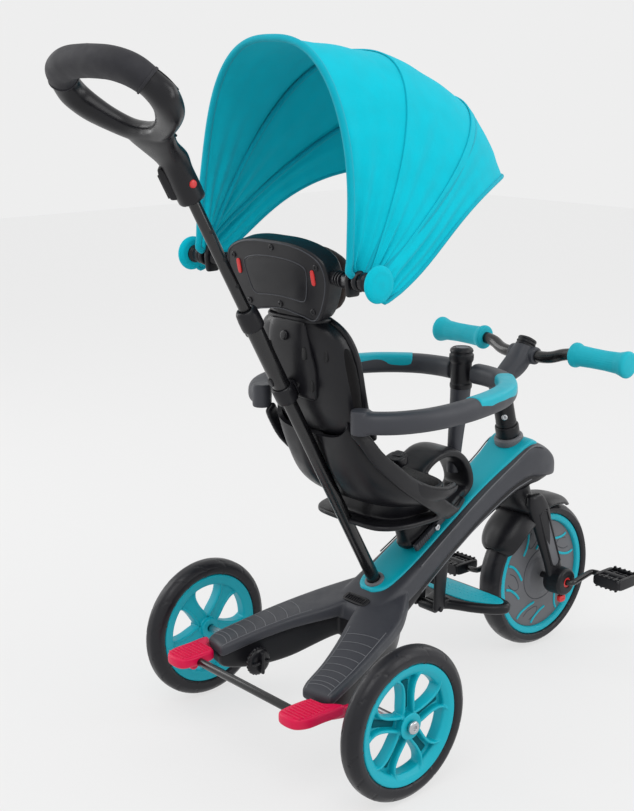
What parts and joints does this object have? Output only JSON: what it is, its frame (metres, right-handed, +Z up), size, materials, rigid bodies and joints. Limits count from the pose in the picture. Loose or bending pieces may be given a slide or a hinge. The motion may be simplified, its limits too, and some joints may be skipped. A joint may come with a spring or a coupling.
{
  "type": "tricycle",
  "caption": "Child's push-along tricycle: bucket seat with guard ring, headrest and folding canopy, telescopic push bar with loop handle, pedal front wheel, footrest, rear brake.",
  "frame": {"origin": "on the ground, at the centre of the bounding box seen from above", "axes": "+Y forward towards the front wheel, +X to the rider's right, +Z up"},
  "size_m": [0.453, 0.9404, 0.9526],
  "materials": {
    "grey_plastic": "satin, finely grained",
    "black_plastic": "semi-gloss",
    "teal_plastic": "semi-gloss",
    "red_plastic": "semi-gloss",
    "black_metal": "gloss powder coat",
    "steel": "bright zinc",
    "tyre": "matte",
    "soft_grip": "matte soft-touch",
    "teal_grip": "matte soft-touch",
    "canopy_fabric": "woven",
    "liner_fabric": "padded weave"
  },
  "bodies": {
    "base": {"frame_shell": "grey_plastic", "spine_cover": "teal_plastic", "frame_underside": "black_plastic", "head_trim_ring": "grey_plastic", "rear_axle_left": "steel", "rear_axle_right": "steel", "seat_clamp": "black_plastic", "saddle": "black_plastic", "bucket_shell": "grey_plastic", "backrest_shell": "grey_plastic", "seat_pad": "liner_fabric", "harness_buckle": "black_plastic", "ring_post": "grey_plastic", "push_bar_lower": "black_metal", "push_bar_sleeve": "black_plastic"},
    "rear_wheel_left": {"rear_tyre_left": "tyre", "rear_rim_left": "teal_plastic"},
    "rear_wheel_right": {"rear_tyre_right": "tyre", "rear_rim_right": "teal_plastic"},
    "brake": {"brake_pedal_left": "red_plastic", "brake_pedal_right": "red_plastic", "brake_bar": "black_metal"},
    "knob": {"arm_knob": "black_plastic"},
    "steering": {"fork": "black_plastic", "fender": "black_plastic", "steering_column": "black_metal", "stem": "grey_plastic", "handlebar": "black_metal", "grip_left": "teal_grip", "grip_right": "teal_grip", "hub_cap_left": "black_plastic", "hub_cap_right": "black_plastic"},
    "front_wheel": {"front_tyre": "tyre", "front_rim": "teal_plastic", "crank_axle": "black_metal"},
    "left_pedal": {"pedal_left": "black_plastic"},
    "right_pedal": {"pedal_right": "black_plastic"},
    "clutch": {"clutch_tab": "red_plastic"},
    "footrest": {"footrest": "black_plastic"},
    "seat_lever": {"clamp_lever": "grey_plastic"},
    "recline_key": {"recline_button": "red_plastic"},
    "post_key": {"post_button": "red_plastic"},
    "guard_left": {"ring_left": "grey_plastic", "ring_pad_left": "teal_grip"},
    "guard_right": {"ring_right": "grey_plastic", "ring_pad_right": "teal_grip"},
    "handle": {"push_bar_upper": "black_metal", "handle_shell": "black_plastic", "handle_grip": "soft_grip"},
    "handle_key": {"bar_button": "black_plastic"},
    "headrest": {"headrest_shell": "grey_plastic", "headrest_pad": "liner_fabric", "canopy_mount_left": "black_plastic", "canopy_mount_right": "black_plastic", "canopy_rear": "canopy_fabric", "canopy_hoop_rear": "black_metal"},
    "canopy_mid": {"canopy_middle": "canopy_fabric", "canopy_hoop_middle": "black_metal"},
    "canopy_fore": {"canopy_front": "canopy_fabric", "canopy_hoop_front": "black_metal"}
  },
  "joints": [
    {"name": "rear_wheel_left_spin", "type": "hinge", "parent": "base", "child": "rear_wheel_left", "pos_m": [-0.2065, -0.1548, 0.103], "axis": [1, 0, 0], "continuous": true},
    {"name": "rear_wheel_right_spin", "type": "hinge", "parent": "base", "child": "rear_wheel_right", "pos_m": [0.2065, -0.1548, 0.103], "axis": [1, 0, 0], "continuous": true},
    {"name": "brake_press", "type": "hinge", "parent": "base", "child": "brake", "pos_m": [0, -0.1548, 0.103], "axis": [1, 0, 0], "range_deg": [0, 12]},
    {"name": "knob_turn", "type": "hinge", "parent": "base", "child": "knob", "pos_m": [-0.0575, -0.1768, 0.104], "axis": [1, 0, 0], "range_deg": [0, 90]},
    {"name": "steer", "type": "hinge", "parent": "base", "child": "steering", "pos_m": [0, 0.2782, 0.353], "axis": [0, -0.2656, 0.9641], "range_deg": [-30, 30]},
    {"name": "front_wheel_spin", "type": "hinge", "parent": "steering", "child": "front_wheel", "pos_m": [0, 0.3522, 0.118], "axis": [1, 0, 0], "continuous": true},
    {"name": "right_pedal_spin", "type": "hinge", "parent": "front_wheel", "child": "right_pedal", "pos_m": [0.12, 0.40567, 0.12551], "axis": [1, 0, 0], "continuous": true},
    {"name": "left_pedal_spin", "type": "hinge", "parent": "front_wheel", "child": "left_pedal", "pos_m": [-0.12, 0.29873, 0.11048], "axis": [1, 0, 0], "continuous": true},
    {"name": "clutch_shift", "type": "slide", "parent": "steering", "child": "clutch", "axis": [1, 0, 0], "range_m": [0, 0.003]},
    {"name": "footrest_fold", "type": "hinge", "parent": "base", "child": "footrest", "pos_m": [0, 0.1072, 0.127], "axis": [1, 0, 0], "range_deg": [-140, 0]},
    {"name": "seat_lever_swing", "type": "hinge", "parent": "base", "child": "seat_lever", "pos_m": [0.023, 0.10523, 0.26912], "axis": [0, -0.4818, 0.8763], "range_deg": [0, 90]},
    {"name": "recline_key_press", "type": "slide", "parent": "base", "child": "recline_key", "axis": [-1, 0, 0], "range_m": [0, 0.002], "stiffness_N_per_m": 300},
    {"name": "post_key_press", "type": "slide", "parent": "base", "child": "post_key", "axis": [-1, 0, 0], "range_m": [0, 0.001], "stiffness_N_per_m": 300},
    {"name": "guard_left_open", "type": "hinge", "parent": "base", "child": "guard_left", "pos_m": [-0.0985, -0.1308, 0.476], "axis": [0, 0, 1], "range_deg": [0, 75]},
    {"name": "guard_right_open", "type": "hinge", "parent": "base", "child": "guard_right", "pos_m": [0.0985, -0.1308, 0.476], "axis": [0, 0, 1], "range_deg": [-75, 0]},
    {"name": "handle_height", "type": "slide", "parent": "base", "child": "handle", "axis": [0, -0.4818, 0.8763], "range_m": [-0.15, 0]},
    {"name": "handle_key_press", "type": "slide", "parent": "handle", "child": "handle_key", "axis": [-1, 0, 0], "range_m": [0, 0.002], "stiffness_N_per_m": 300},
    {"name": "headrest_height", "type": "slide", "parent": "base", "child": "headrest", "axis": [0, -0.1994, 0.9799], "range_m": [0, 0.045]},
    {"name": "canopy_fold", "type": "hinge", "parent": "headrest", "child": "canopy_fore", "pos_m": [0, -0.1828, 0.664], "axis": [1, 0, 0], "range_deg": [0, 50]},
    {"name": "canopy_mid_fold", "type": "hinge", "parent": "headrest", "child": "canopy_mid", "pos_m": [0, -0.1828, 0.664], "axis": [1, 0, 0], "range_deg": [0, 25]}
  ],
  "couplings": [
    {"joint": "canopy_mid_fold", "follows": "canopy_fold", "ratio": 0.5}
  ]
}
